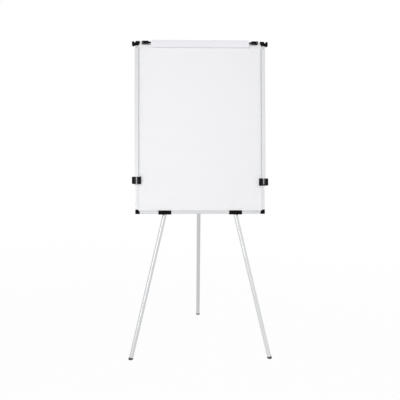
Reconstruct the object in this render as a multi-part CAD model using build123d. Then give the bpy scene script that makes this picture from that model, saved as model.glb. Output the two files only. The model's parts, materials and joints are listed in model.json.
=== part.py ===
"""Tripod flipchart easel: framed board, sprung paper clamp, two extension arms and three telescopic legs.

Millimetres. World: +Z up, the writing face looks towards -Y, the origin is on the floor under the
middle of the stance. Most pieces are drawn in the board's own axes (x across, y up the board from its
bottom edge, z out of the frame's front face) and then leaned back with it.
"""

from build123d import *
from math import atan2, cos, degrees, radians, sin, tan
import os

# ------------------------------------------------------------------ driving dimensions
# Stance
tilt = 9.0  # lean of the board and the front legs, degrees
board_rise = 845.0  # floor to the frame's bottom edge, up the slope
foot_half_spread = 405.0  # middle of the easel to a front foot
rear_foot_back = 708.0  # line of the front feet to the rear foot

# Frame
board_width = 750.0
board_height = 1005.0
rail_width = 22.0  # seen from the front
rail_depth = 18.0
tube_width = 13.0  # hollow outer part of the rail
rail_wall = 1.5
bead_width = 12.0  # raised outer bead of the rail's face
lip_step = 2.0  # the inner lip lies this much lower than the bead
lip_thickness = 1.0
flange_width = 7.0  # back flange that holds the panel in
flange_thickness = 1.2
rail_round = 3.5

# Panel
sheet_thickness = 0.5
core_thickness = 11.0
slot_gap = 0.3  # panel edge to the bottom of the rail's slot

# Corner pieces
cap_reach = 25.0
cap_cut = 12.0  # diagonal cut of the inner corner
cap_proud = 1.0
cap_round = 5.0
cap_edge_round = 0.8
spigot_length = 35.0
spigot_gap = 0.15
spigot_screw_inset = 8.0  # rail's end to its frame screw
lug_gap = 7.0  # frame edge to the arm's stop lug
lug_width = 13.0
lug_height = 25.0
lug_depth = 17.0
lug_front = 8.5  # frame's front face to the lug's front
lug_web = 15.6
lug_web_rise = 3.0  # lug's lower end to the web
lug_round = 3.0
stop_gap = 0.4

# Extension arms
arm_width = 22.0
arm_depth = 9.0
arm_wall = 1.5
arm_length = 795.0  # pivot to the tip of the end plug
arm_inset = 7.0  # frame edge to the arm's centre line
arm_drop = 40.0  # frame's top edge to the arm's pivot
arm_lift = 3.0  # frame's front face to the arm's back
tongue_thickness = 2.4
tongue_width = 18.0
pivot_radius = 3.0
pivot_head_radius = 5.5
pivot_head_height = 2.5
pivot_grip = 15.0  # length of pivot screw in the frame
bush_radius = 7.5
running_gap = 0.05
seat_gap = 0.02  # round a screw or pin that is fixed in its hole
plug_length = 20.0
plug_flange = 3.0

# Sheet clips
clip_width = 52.0
clip_height = 42.0
clip_depth = 14.0
clip_lift = 0.5  # frame's front face to the clip's back
clip_slit = 3.0
clip_round = 5.0
clip_edge_round = 1.2
clip_gap = 0.3  # arm to the clip's inner faces
clip_groove = 1.0
clip_groove_place = 13.0  # clip's middle to each groove
clip_left_height = 194.0  # frame's bottom edge to the middle of each clip
clip_right_height = 184.0
leaf_thickness = 0.5
leaf_length = 26.0
leaf_bow = 2.6

# Paper clamp
clamp_inset = 91.0  # frame's side edge to the clamp bar's end
clamp_pin_drop = 10.0  # frame's top edge to the hinge pin
clamp_pin_lift = 9.0  # frame's front face to the hinge pin
clamp_height = 27.0  # hinge pin to the bar's lower edge
clamp_lip = 14.2  # hinge pin to the bar's upper edge
clamp_lip_lean = 6.0  # degrees towards the board
clamp_lip_round = 0.8
clamp_wall = 2.0
barrel_radius = 4.5
clamp_foot = 7.0
clamp_round = 3.0
grip_gap = 0.3
grip_thickness = 5.2
bracket_width = 37.5
bracket_height = 14.2
bracket_depth = 15.0
bracket_round = 3.0
bracket_screw_inset = 6.75  # bracket's outer end to its screw
bracket_screw_seat = 5.0  # frame's front face to the seat under the head
clamp_pin_reach = 24.0  # length of pin inside the bracket
coil_inset = 6.0  # bracket's inner end to the coil
coil_room = 1.0  # free length at each end of the coil
nose_length = 14.5
nose_radius = 5.5
nose_tip_radius = 3.6
nose_gap = 1.0  # bracket's nose to the bar's end
clamp_pin_radius = 2.0
clamp_pin_grip = 34.0  # length of pin inside the bar
coil_radius = 2.9
coil_wire = 1.0
coil_turns = 5
coil_pitch = 1.6
coil_pocket_radius = 3.7

# Hub
hub_drop = 214.0  # frame's top edge to the front leg pins
hub_pin_half_gap = 22.0
hub_pin_radius = 4.0
hub_pin_head_radius = 5.5
hub_pin_head_height = 2.0
hub_screw_inset = 10.0
hub_plate_width = 140.0
hub_plate_height = 100.0
hub_plate_thickness = 3.0
hub_flange_thickness = 4.0
hub_width = 100.0
hub_above = 26.0  # hub body above the pins
hub_below = 32.0  # hub body below the pins
hub_wall = 10.0
hub_round = 10.0
tongue_gap = 0.4  # leg tongue to the hub's walls
rear_pin_drop = 10.0
rear_pin_back = 16.7  # hub body's back to the rear leg pin
cheek_thickness = 7.0
cheek_radius = 13.0

# Legs
tube_radius = 12.5  # lower tube
upper_radius = 11.0
tube_wall = 1.2
lower_length = 1100.0
tube_overlap = 220.0
front_tongue = 10.0
rear_tongue = 16.0
tongue_radius = 11.0
head_length = 40.0
shoulder_radius = 11.5
shoulder_height = 8.0
head_plug = 30.0
bush_length = 16.0
sleeve_gap = 0.08  # lock collar round the upper tube
collar_radius = 17.0
collar_seat = 24.0
collar_above = 22.0
collar_round = 1.5
boss_radius = 8.0
boss_reach = 24.0
knob_radius = 13.0
knob_height = 12.0
knob_lobes = 6
knob_round = 1.0
knob_screw_radius = 3.0
foot_radius = 13.5
foot_height = 11.0
foot_plug = 22.0
sole_round = 1.5

# Leg brackets
leg_bracket_width = 75.0
leg_bracket_above = 20.0  # up the bottom rail's face
leg_bracket_wall = 3.0
leg_bracket_base = 4.0
leg_bracket_round = 2.0
leg_bracket_edge_round = 1.5
leg_bracket_screw_inset = 10.5
leg_gap = 0.4

# Screws
screw_radius = 2.0
screw_head_radius = 4.0
screw_head_height = 1.6
screw_grip = 10.0

# ------------------------------------------------------------------ places worked out from them
half_width = board_width / 2
panel_front = -(lip_step + lip_thickness)
panel_back = panel_front - 2 * sheet_thickness - core_thickness
leg_depth = rail_depth + leg_bracket_wall + leg_gap + tube_radius
arm_x = -(half_width - arm_inset)
arm_y = board_height - arm_drop
arm_front = arm_lift + arm_depth
clamp_y = board_height - clamp_pin_drop
clamp_length = board_width - 2 * clamp_inset
bracket_near = clamp_length / 2 + nose_gap + nose_length
hub_y = board_height - hub_drop
hub_front = -rail_depth
slot_front = -(leg_depth - front_tongue / 2 - tongue_gap)
slot_back = -(leg_depth + front_tongue / 2 + tongue_gap)
hub_back = slot_back - hub_wall
rear_pin_y = hub_y - rear_pin_drop
rear_pin_z = hub_back - rear_pin_back

up_board = Vector(0, sin(radians(tilt)), cos(radians(tilt)))
out_board = Vector(0, -cos(radians(tilt)), sin(radians(tilt)))
board_plane = Plane(
    origin=up_board * board_rise + out_board * leg_depth,
    x_dir=(1, 0, 0),
    z_dir=out_board,
)

front_foot = Vector(-foot_half_spread, -board_rise, -leg_depth)
front_pin = Vector(-hub_pin_half_gap, hub_y, -leg_depth)
front_line = front_pin - front_foot
front_length = front_line.length
splay = degrees(atan2(front_line.X, front_line.Y))

rear_foot = Vector(0, rear_foot_back, 0)
rear_pin = board_plane.from_local_coords(Vector(0, rear_pin_y, rear_pin_z))
rear_line = rear_pin - rear_foot
rear_length = rear_line.length
rear_open = degrees(atan2(rear_line.dot(out_board), rear_line.dot(up_board)))

parts = {}


# ------------------------------------------------------------------ helpers
def block(x, y, z):
    """A box from three (low, high) spans."""
    spans = (x, y, z)
    middle = [(low + high) / 2 for low, high in spans]
    size = [high - low for low, high in spans]
    return Pos(*middle) * Box(*size)


def rod(start, end, radius):
    """A round bar between two points."""
    line = Vector(*end) - Vector(*start)
    base = Plane(origin=start, z_dir=line)
    return base.location * Cylinder(radius, line.length, align=(Align.CENTER, Align.CENTER, Align.MIN))


def plate(points, z):
    """A polygon in x and y, thick from z[0] to z[1]."""
    outline = make_face(Polyline(*points, close=True))
    return Pos(0, 0, z[0]) * extrude(outline, z[1] - z[0], dir=(0, 0, 1))


def flipped(part):
    """The same piece on the other side of the easel."""
    return mirror(part, about=Plane.YZ)


def add_board(name, part):
    """Keep a piece that was drawn in the board's axes."""
    parts[name] = board_plane.location * part


def add_board_pair(name, part):
    """Keep a left piece and its mirror image."""
    add_board(name + "_left", part)
    add_board(name + "_right", flipped(part))


def group(pieces):
    """Separate solids that share one node."""
    return Compound([solid for piece in pieces for solid in piece.solids()])


def screw(hole):
    """A pan head screw: its head sits at the hole's mouth, and its shank fills the hole."""
    seat = Vector(*hole[0])
    way = Vector(*hole[1])
    shape = rod((0, 0, 0), (0, 0, screw_head_height), screw_head_radius)
    shape = fillet(shape.edges().group_by(Axis.Z)[-1], screw_head_height / 2)
    shape += rod((0, 0, -screw_grip), (0, 0, 0), screw_radius)
    return Plane(origin=seat, z_dir=-way).location * shape


def cut_screws(part, holes):
    """Cut the shank's hole of every screw that passes through a piece."""
    for seat, way in holes:
        start = Vector(*seat)
        part -= rod(start, start + Vector(*way) * screw_grip, screw_radius + seat_gap)
    return part


def both_sides(holes):
    """The same screws, and their mirror images."""
    return holes + [((-x, y, z), way) for (x, y, z), way in holes]


# ------------------------------------------------------------------ frame rails
def rail_section():
    """Rail section: x from the outer edge inwards, y along the depth, front face at 0."""
    lip_back = -(lip_step + lip_thickness)
    outline = make_face(
        Polyline(
            (0, 0),
            (bead_width, 0),
            (bead_width + lip_step, -lip_step),
            (rail_width, -lip_step),
            (rail_width, lip_back),
            (tube_width, lip_back),
            (tube_width, panel_back),
            (tube_width + flange_width, panel_back),
            (tube_width + flange_width, panel_back - flange_thickness),
            (tube_width, panel_back - flange_thickness),
            (tube_width, -rail_depth),
            (0, -rail_depth),
            close=True,
        )
    )
    outer = [corner for corner in outline.vertices() if abs(corner.X) < 0.01]
    outline = fillet(outer, rail_round)
    hollow = Pos(tube_width / 2, -rail_depth / 2) * RectangleRounded(
        tube_width - 2 * rail_wall, rail_depth - 2 * rail_wall, rail_round - rail_wall
    )
    return outline - hollow


side_length = board_height - 2 * rail_width
cross_length = board_width - 2 * rail_width
side_plane = Plane(origin=(-half_width, board_height - rail_width, 0), x_dir=(1, 0, 0), z_dir=(0, -1, 0))
lower_side_plane = Plane(origin=(-half_width, rail_width, 0), x_dir=(1, 0, 0), z_dir=(0, -1, 0))
cross_plane = Plane(origin=(rail_width - half_width, 0, 0), x_dir=(0, 1, 0), z_dir=(1, 0, 0))
middle_plane = Plane(origin=(0, board_height / 2, 0), z_dir=(0, 1, 0))
rail_left = side_plane.location * extrude(rail_section(), side_length, dir=(0, 0, 1))
rail_bottom = cross_plane.location * extrude(rail_section(), cross_length, dir=(0, 0, 1))

# The panel is a sandwich held in the rails' slots.
panel_x = half_width - tube_width - slot_gap
panel_y = (tube_width + slot_gap, board_height - tube_width - slot_gap)
core_front = panel_front - sheet_thickness
core_back = core_front - core_thickness
writing_sheet = block((-panel_x, panel_x), panel_y, (core_front, panel_front))
panel_core = block((-panel_x, panel_x), panel_y, (core_back, core_front))
backing_sheet = block((-panel_x, panel_x), panel_y, (panel_back, core_back))

# ------------------------------------------------------------------ corner pieces
# Frame screws go in from behind, through a rail's back wall and into a spigot.
spigot_screw = rail_width + spigot_screw_inset
frame_holes = [
    ((-half_width + tube_width / 2, spigot_screw, -rail_depth), (0, 0, 1)),
    ((-half_width + spigot_screw, tube_width / 2, -rail_depth), (0, 0, 1)),
]
upper_frame_holes = [((x, board_height - y, z), way) for (x, y, z), way in frame_holes]


def corner_piece():
    """Bottom left corner: a cap over both rail ends, with a spigot up each hollow."""
    near = -cap_proud
    far = cap_reach
    points = [
        (near, near),
        (far, near),
        (far, far - cap_cut),
        (far - cap_cut, far),
        (near, far),
    ]
    cap = plate([(x - half_width, y) for x, y in points], (-rail_depth - cap_proud, cap_proud))
    upright = cap.edges().filter_by(Axis.Z).sort_by_distance((-half_width, 0, 0))[0]
    cap = fillet(upright, cap_round)
    cap = fillet(cap.edges().group_by(Axis.Z)[-1], cap_edge_round)
    cap -= rail_left
    cap -= rail_bottom
    cap -= block(
        (tube_width - half_width, 0),
        (tube_width, board_height / 2),
        (panel_back, panel_front),
    )
    inset = rail_wall + spigot_gap
    spigot = Pos(tube_width / 2, -rail_depth / 2) * RectangleRounded(
        tube_width - 2 * inset, rail_depth - 2 * inset, rail_round - rail_wall
    )
    spigot = Pos(0, 0, -spigot_length) * extrude(spigot, spigot_length + cap_proud, dir=(0, 0, 1))
    cap += lower_side_plane.location * spigot
    cap += cross_plane.location * mirror(spigot, about=Plane.XY)
    return cap


def top_corner():
    """Top left corner: the cap, the arm's stop lug beside it and the tongue under the arm's head."""
    bracket = mirror(corner_piece(), about=middle_plane)
    lug_low = arm_y + arm_width / 2 + stop_gap
    lug_x = (-half_width - lug_gap - lug_width, -half_width - lug_gap)
    lug_z = (lug_front - lug_depth, lug_front)
    lug = block(lug_x, (lug_low, lug_low + lug_height), lug_z)
    lug = fillet(lug.edges().filter_by(Axis.Z), lug_round)
    web = block(
        (lug_x[1] - lug_width / 2, -half_width + rail_round),
        (lug_low + lug_web_rise, lug_low + lug_web_rise + lug_web),
        (lug_z[0], lug_z[1] - stop_gap),
    )
    tongue = block(
        (arm_x - tongue_width / 2, arm_x + tongue_width / 2),
        (arm_y, board_height - rail_width + cap_proud),
        (0, tongue_thickness),
    )
    tongue += rod((arm_x, arm_y, 0), (arm_x, arm_y, tongue_thickness), tongue_width / 2)
    whole = bracket + lug + (web - rail_left) + tongue
    whole -= rod((arm_x, arm_y, -pivot_grip), (arm_x, arm_y, arm_front), pivot_radius + seat_gap)
    return cut_screws(whole, upper_frame_holes + bracket_holes)


# ------------------------------------------------------------------ extension arms
arm_tip = arm_y - arm_length


def arm_plan(inset, low):
    """The arm's outline: a bar with a round head about its pivot."""
    half = arm_width / 2 - inset
    bar = Pos(arm_x, (low + arm_y) / 2) * Rectangle(2 * half, arm_y - low)
    return bar + Pos(arm_x, arm_y) * Circle(half)


def extension_arm():
    """A channel, open at the back, with a hole for its pivot screw."""
    low = arm_tip + plug_flange
    arm = Pos(0, 0, arm_lift) * extrude(arm_plan(0, low), arm_depth)
    ridge = arm.edges().group_by(Axis.Z)[-1].filter_by(lambda edge: edge.center().Y > low + 1)
    arm = fillet(ridge, arm_wall / 2)
    arm -= Pos(0, 0, arm_lift - 1) * extrude(arm_plan(arm_wall, low - 1), arm_depth - arm_wall + 1)
    hole = pivot_radius + running_gap
    return arm - rod((arm_x, arm_y, 0), (arm_x, arm_y, arm_front + 1), hole)


def arm_end_plug():
    """Fills the channel's open end."""
    half = arm_width / 2
    flange = block(
        (arm_x - half, arm_x + half),
        (arm_tip, arm_tip + plug_flange),
        (arm_lift, arm_front),
    )
    flange = fillet(flange.edges().filter_by(Axis.Z).group_by(Axis.Y)[0], arm_wall)
    inner = half - arm_wall - spigot_gap
    return flange + block(
        (arm_x - inner, arm_x + inner),
        (arm_tip, arm_tip + plug_flange + plug_length),
        (arm_lift, arm_front - arm_wall - spigot_gap),
    )


arm_pivot_screw = rod((arm_x, arm_y, -pivot_grip), (arm_x, arm_y, arm_front + running_gap), pivot_radius)
pivot_head = rod(
    (arm_x, arm_y, arm_front + running_gap),
    (arm_x, arm_y, arm_front + running_gap + pivot_head_height),
    pivot_head_radius,
)
arm_pivot_screw += fillet(pivot_head.edges().group_by(Axis.Z)[-1], pivot_head_height / 2)
arm_pivot_bush = rod(
    (arm_x, arm_y, tongue_thickness),
    (arm_x, arm_y, arm_front - arm_wall - running_gap),
    bush_radius,
) - rod((arm_x, arm_y, 0), (arm_x, arm_y, arm_front), pivot_radius + seat_gap)


# ------------------------------------------------------------------ sheet clips
leaf_wall = arm_x + arm_width / 2 + running_gap + leaf_bow + leaf_thickness


def sheet_clip(middle):
    """A C that slides on the arm, with a slit down its front and a pocket for its leaf spring."""
    low = middle - clip_height / 2
    high = middle + clip_height / 2
    back = clip_lift
    front = clip_lift + clip_depth
    body = block((arm_x - clip_width / 2, arm_x + clip_width / 2), (low, high), (back, front))
    outer = body.edges().filter_by(Axis.Z).group_by(Axis.X)[0]
    body = fillet(outer, clip_round)
    body = fillet(body.edges().group_by(Axis.Z)[-1], clip_edge_round)
    half = arm_width / 2 + clip_gap
    body -= block(
        (arm_x - half, arm_x + half),
        (low - 1, high + 1),
        (arm_lift - clip_gap, arm_front + clip_gap),
    )
    body -= block((arm_x - clip_slit / 2, arm_x + clip_slit / 2), (low - 1, high + 1), (arm_front, front + 1))
    for side in (-1, 1):
        groove = arm_x + side * clip_groove_place
        body -= block(
            (groove - clip_groove / 2, groove + clip_groove / 2),
            (low - 1, high + 1),
            (front - clip_groove / 2, front + 1),
        )
    return body - block(
        (arm_x, leaf_wall),
        (middle - leaf_length / 2 - clip_gap, middle + leaf_length / 2 + clip_gap),
        (arm_lift, arm_front),
    )


def clip_leaf(middle):
    """A bowed spring strip between the clip's pocket and the arm's side."""
    ends = leaf_wall - leaf_thickness
    crown = ends - leaf_bow
    low = middle - leaf_length / 2
    high = middle + leaf_length / 2
    inner = ThreePointArc((ends, low), (crown, middle), (ends, high))
    outer = ThreePointArc((leaf_wall, high), (crown + leaf_thickness, middle), (leaf_wall, low))
    tips = Line((ends, high), (leaf_wall, high)) + Line((leaf_wall, low), (ends, low))
    strip = make_face(inner + outer + tips)
    width = (arm_lift + clip_gap, arm_front - clip_gap)
    return Pos(0, 0, width[0]) * extrude(strip, width[1] - width[0], dir=(0, 0, 1))


# ------------------------------------------------------------------ paper clamp
def clamp_section():
    """Clamp bar section: x up the board, y out of it."""
    low = clamp_y - clamp_height
    front = clamp_pin_lift + barrel_radius
    foot_back = panel_front + grip_gap + grip_thickness
    lip_top = clamp_y + clamp_lip
    lip_front = front - clamp_lip * tan(radians(clamp_lip_lean))
    outline = make_face(
        Polyline(
            (lip_top, lip_front - clamp_wall),
            (lip_top, lip_front),
            (clamp_y, front),
            (low, front),
            (low, foot_back),
            (low + clamp_foot, foot_back),
            (low + clamp_foot, foot_back + clamp_wall),
            (low + clamp_wall, foot_back + clamp_wall),
            (low + clamp_wall, front - clamp_wall),
            (clamp_y, front - clamp_wall),
            close=True,
        )
    )
    edge = [v for v in outline.vertices() if abs(v.X - low) < 0.01 and abs(v.Y - front) < 0.01]
    outline = fillet(edge, clamp_round)
    lip_edges = [v for v in outline.vertices() if abs(v.X - lip_top) < 0.01]
    outline = fillet(lip_edges, clamp_lip_round)
    barrel = Pos(clamp_y, clamp_pin_lift) * Circle(barrel_radius)
    bore = Pos(clamp_y, clamp_pin_lift) * Circle(clamp_pin_radius + seat_gap)
    return outline + barrel - bore


clamp_plane = Plane(origin=(-clamp_length / 2, 0, 0), x_dir=(0, 1, 0), z_dir=(1, 0, 0))
clamp_bar = clamp_plane.location * extrude(clamp_section(), clamp_length, dir=(0, 0, 1))
clamp_grip = block(
    (-clamp_length / 2, clamp_length / 2),
    (clamp_y - clamp_height, clamp_y - clamp_height + clamp_foot),
    (panel_front + grip_gap, panel_front + grip_gap + grip_thickness),
)
clamp_pin_outer = bracket_near + clamp_pin_reach
clamp_pin = rod(
    (-clamp_pin_outer, clamp_y, clamp_pin_lift),
    (clamp_pin_grip - clamp_length / 2, clamp_y, clamp_pin_lift),
    clamp_pin_radius,
)
coil_length = coil_turns * coil_pitch
coil_start = bracket_near + coil_inset
bracket_top = board_height - cap_proud
bracket_screw_x = -(bracket_near + bracket_width - bracket_screw_inset)
bracket_screw_y = bracket_top - bracket_height / 2
bracket_holes = [((bracket_screw_x, bracket_screw_y, bracket_screw_seat), (0, 0, -1))]


def clamp_bracket():
    """Left end bracket: a block on the top rail, with a tapered nose round the hinge pin."""
    near = -bracket_near
    far = near - bracket_width
    low = bracket_top - bracket_height
    body = block((far, near), (low, bracket_top), (0, bracket_depth))
    body = fillet(body.edges().group_by(Axis.Z)[-1], bracket_round)
    ledge = board_height - bead_width - lip_step
    body += block((far, near), (low, ledge), (-lip_step, 0))
    nose = Cone(nose_radius, nose_tip_radius, nose_length + 1, align=(Align.CENTER, Align.CENTER, Align.MIN))
    body += Plane(origin=(near - 1, clamp_y, clamp_pin_lift), z_dir=(1, 0, 0)).location * nose
    pin_room = clamp_pin_radius + running_gap
    body -= rod(
        (-clamp_pin_outer - 1, clamp_y, clamp_pin_lift),
        (near + nose_length + 1, clamp_y, clamp_pin_lift),
        pin_room,
    )
    body -= rod(
        (-coil_start - coil_length - coil_wire - coil_room, clamp_y, clamp_pin_lift),
        (coil_room - coil_start, clamp_y, clamp_pin_lift),
        coil_pocket_radius,
    )
    for (x, y, z), way in bracket_holes:
        body -= rod((x, y, z), (x, y, bracket_depth + 1), screw_head_radius + seat_gap)
    return cut_screws(body, bracket_holes)


def clamp_spring():
    """Torsion coil round the hinge pin, inside the bracket."""
    path = Helix(pitch=coil_pitch, height=coil_length, radius=coil_radius)
    section = Plane(origin=path @ 0, z_dir=path % 0) * Circle(coil_wire / 2)
    start = (-coil_start - coil_length - coil_wire / 2, clamp_y, clamp_pin_lift)
    return Plane(origin=start, z_dir=(1, 0, 0)).location * sweep(section, path=path)


# ------------------------------------------------------------------ hub
hub_screw_x = hub_plate_width / 2 - hub_screw_inset
hub_screw_rise = hub_plate_height / 2 - hub_screw_inset
hub_holes = both_sides(
    [
        ((-hub_screw_x, hub_y + side * hub_screw_rise, hub_front - hub_flange_thickness), (0, 0, 1))
        for side in (-1, 1)
    ]
)


def hub_plate():
    """Steel plate that spreads the hub's load over the panel's back."""
    return block(
        (-hub_plate_width / 2, hub_plate_width / 2),
        (hub_y - hub_plate_height / 2, hub_y + hub_plate_height / 2),
        (panel_back - hub_plate_thickness, panel_back),
    )


def leg_pocket():
    """Room for the left leg's tongue, from folded to fully splayed; its outer wall stops the leg."""
    reach = tongue_radius + tongue_gap
    drop = hub_below + 1
    x = -hub_pin_half_gap
    lean = radians(splay)
    splayed_x = x - reach * cos(lean)
    splayed_y = hub_y + reach * sin(lean)
    foot_x = splayed_x - (drop + reach * sin(lean)) * sin(lean) / cos(lean)
    room = plate(
        [
            (x + reach, hub_y),
            (x, hub_y),
            (splayed_x, splayed_y),
            (foot_x, hub_y - drop),
            (x + reach, hub_y - drop),
        ],
        (slot_back, slot_front),
    )
    return room + rod((x, hub_y, slot_back), (x, hub_y, slot_front), reach)


def hub_body():
    """Moulded hub: a flange, a pocket for each front leg and a clevis for the rear leg."""
    flange_half = hub_plate_width / 2
    body = block(
        (-hub_width / 2, hub_width / 2),
        (hub_y - hub_below, hub_y + hub_above),
        (hub_back, hub_front),
    )
    body = fillet(body.edges().filter_by(Axis.Z), hub_round)
    flange = block(
        (-flange_half, flange_half),
        (hub_y - hub_plate_height / 2, hub_y + hub_plate_height / 2),
        (hub_front - hub_flange_thickness, hub_front),
    )
    body += fillet(flange.edges().filter_by(Axis.Z), hub_round)
    inner = rear_tongue / 2 + tongue_gap
    for side in (-1, 1):
        span = sorted((side * inner, side * (inner + cheek_thickness)))
        cheek = rod((span[0], rear_pin_y, rear_pin_z), (span[1], rear_pin_y, rear_pin_z), cheek_radius)
        cheek += block(
            span,
            (rear_pin_y - cheek_radius, rear_pin_y + cheek_radius),
            (rear_pin_z, hub_back + 1),
        )
        body += cheek
    body -= leg_pocket()
    body -= flipped(leg_pocket())
    for side in (-1, 1):
        x = side * hub_pin_half_gap
        hole = (x, hub_y, hub_back - 1), (x, hub_y, slot_front + front_tongue / 2)
        body -= rod(*hole, hub_pin_radius + seat_gap)
    span = inner + cheek_thickness + 1
    body -= rod((-span, rear_pin_y, rear_pin_z), (span, rear_pin_y, rear_pin_z), hub_pin_radius + seat_gap)
    return cut_screws(body, hub_holes)


def front_leg_pin():
    """Left pin: a shank through the hub's back wall and the leg, with a domed head behind."""
    x = -hub_pin_half_gap
    shank = rod((x, hub_y, hub_back), (x, hub_y, slot_front + front_tongue / 2), hub_pin_radius)
    head = rod((x, hub_y, hub_back - hub_pin_head_height), (x, hub_y, hub_back), hub_pin_head_radius)
    return shank + fillet(head.edges().group_by(Axis.Z)[0], hub_pin_head_height / 2)


def rear_leg_pin():
    """A plain pin across the clevis, flush with its cheeks."""
    half = rear_tongue / 2 + tongue_gap + cheek_thickness
    return rod((-half, rear_pin_y, rear_pin_z), (half, rear_pin_y, rear_pin_z), hub_pin_radius)


# ------------------------------------------------------------------ leg brackets
def leg_axis_x(y):
    """Where the left leg's centre line is, at a height up the board."""
    return front_pin.X + (front_foot.X - front_pin.X) * (hub_y - y) / (hub_y + board_rise)


bracket_x = leg_axis_x((leg_bracket_above - leg_bracket_base) / 2)
leg_bracket_screw_x = leg_bracket_width / 2 - leg_bracket_screw_inset
leg_bracket_holes = [
    ((bracket_x + side * leg_bracket_screw_x, -leg_bracket_base, -rail_depth / 2), (0, 1, 0))
    for side in (-1, 1)
]
# Left leg's axes in the board's: z up the leg from the floor, x outboard, y out of the board.
leg_plane = Plane(
    origin=front_foot,
    x_dir=(-front_line.Y, front_line.X, 0),
    z_dir=front_line,
)


def leg_bracket():
    """A saddle round the bottom rail, with a hook behind it that is open towards the middle."""
    x = (bracket_x - leg_bracket_width / 2, bracket_x + leg_bracket_width / 2)
    back = -(leg_depth + tube_radius + leg_gap + leg_bracket_wall)
    whole = block(x, (-leg_bracket_base, leg_bracket_above), (back, leg_bracket_wall))
    whole = fillet(whole.edges().filter_by(Axis.Z), leg_bracket_round)
    whole = fillet(whole.edges().group_by(Axis.Z)[-1], leg_bracket_edge_round)
    rail_room = block(
        (x[0] - 1, x[1] + 1),
        (0, leg_bracket_above + 1),
        (-rail_depth, 0),
    )
    room = tube_radius + leg_gap
    middle = front_length * board_rise / (board_rise + hub_y)
    sweep_room = rod((0, 0, middle - 2 * leg_bracket_width), (0, 0, middle + 2 * leg_bracket_width), room)
    sweep_room += block(
        (-2 * leg_bracket_width, 0),
        (-room, room),
        (middle - 2 * leg_bracket_width, middle + 2 * leg_bracket_width),
    )
    whole = whole - rail_room - leg_plane.location * sweep_room
    return cut_screws(whole, leg_bracket_holes)


# ------------------------------------------------------------------ legs
tube_bottom = foot_height
tube_top = tube_bottom + lower_length
bore_radius = tube_radius - tube_wall
upper_bore = upper_radius - tube_wall
lock_height = tube_top + collar_above / 2


def leg_head(length, tongue, heel):
    """Plug, shoulder and flat tongue at the top of a leg; z up the leg, the pin lies along y."""
    top = length - head_length
    plug = rod((0, 0, top - shoulder_height - head_plug), (0, 0, top), upper_bore - seat_gap)
    shoulder = rod((0, 0, top - shoulder_height), (0, 0, top), shoulder_radius)
    flat = block((-tongue_radius, tongue_radius), (-tongue / 2, tongue / 2), (top, length))
    flat += rod((0, -tongue / 2, length), (0, tongue / 2, length), tongue_radius)
    if heel:
        flat += block((-tongue_radius, 0), (-tongue / 2, tongue / 2), (length, length + heel))
    hole = rod((0, -tongue, length), (0, tongue, length), hub_pin_radius + running_gap)
    return plug + shoulder + flat - hole


def lock_knob():
    """Lobed thumb screw; its tip stops just short of the upper tube."""
    seat = boss_reach + running_gap
    head = Cylinder(knob_radius, knob_height, align=(Align.CENTER, Align.CENTER, Align.MIN))
    flute = Cylinder(knob_radius / 3, knob_height * 3)
    for spot in PolarLocations(knob_radius * 1.15, knob_lobes):
        head -= spot * flute
    head = fillet(head.edges().group_by(Axis.Z)[-1], knob_round)
    neck = rod((0, 0, upper_radius + sleeve_gap - seat), (0, 0, 0), knob_screw_radius)
    return Plane(origin=(seat, 0, lock_height), z_dir=(1, 0, 0)).location * (head + neck)


def lock_collar():
    """Sits on the lower tube and closes round the upper one, with a boss for the lock screw."""
    bottom = tube_top - collar_seat
    top = tube_top + collar_above
    ring = rod((0, 0, bottom), (0, 0, top), collar_radius)
    ring = fillet(ring.edges().filter_by(GeomType.CIRCLE), collar_round)
    ring += rod((0, 0, lock_height), (boss_reach, 0, lock_height), boss_radius)
    ring -= rod((0, 0, bottom - 1), (0, 0, tube_top), tube_radius + seat_gap)
    ring -= rod((0, 0, tube_top - 1), (0, 0, top + 1), upper_radius + sleeve_gap)
    return ring - rod((0, 0, lock_height), (boss_reach + 1, 0, lock_height), knob_screw_radius + running_gap)


def leg_parts(length, tongue, heel=0.0):
    """Every piece of one leg, in its own axes: z up the leg from the sole, x on the lock knob's side."""
    tube_end = tube_top - tube_overlap
    head_seat = length - head_length - shoulder_height
    bush = rod((0, 0, tube_end - bush_length), (0, 0, tube_end), bore_radius - running_gap)
    bush += rod((0, 0, tube_end), (0, 0, tube_end + bush_length), upper_bore - seat_gap)
    bush -= rod((0, 0, tube_end - bush_length - 1), (0, 0, tube_end + bush_length + 1), upper_bore / 2)
    tip = rod((0, 0, -foot_height), (0, 0, foot_height), foot_radius)
    tip = fillet(tip.edges().group_by(Axis.Z)[-1], (foot_radius - tube_radius) * 0.8)
    tip += rod((0, 0, foot_height), (0, 0, foot_height + foot_plug), bore_radius - seat_gap)
    return {
        "leg_head": leg_head(length, tongue, heel),
        "upper_tube": rod((0, 0, tube_end), (0, 0, head_seat), upper_radius)
        - rod((0, 0, tube_end - 1), (0, 0, head_seat + 1), upper_bore),
        "guide_bush": bush,
        "lower_tube": rod((0, 0, tube_bottom), (0, 0, tube_top), tube_radius)
        - rod((0, 0, tube_bottom - 1), (0, 0, tube_top + 1), bore_radius),
        "lock_collar": lock_collar(),
        "lock_knob": lock_knob(),
        "foot": tip,
    }


# The rear leg's heel meets the hub's back when the leg is fully open.
heel_reach = rear_pin_back - stop_gap - tongue_radius * cos(radians(rear_open))
rear_heel = heel_reach / sin(radians(rear_open))
rear_plane = Plane(
    origin=rear_foot,
    x_dir=Vector(0, rear_line.Z, -rear_line.Y),
    z_dir=rear_line,
)
underfloor = block((-board_width, board_width), (-board_height, 2 * board_height), (-board_width, 0))


def stand(name, part):
    """Level a foot's sole with the floor."""
    if name != "foot":
        return part
    part -= underfloor
    return fillet(part.edges().group_by(Axis.Z)[0], sole_round)


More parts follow.
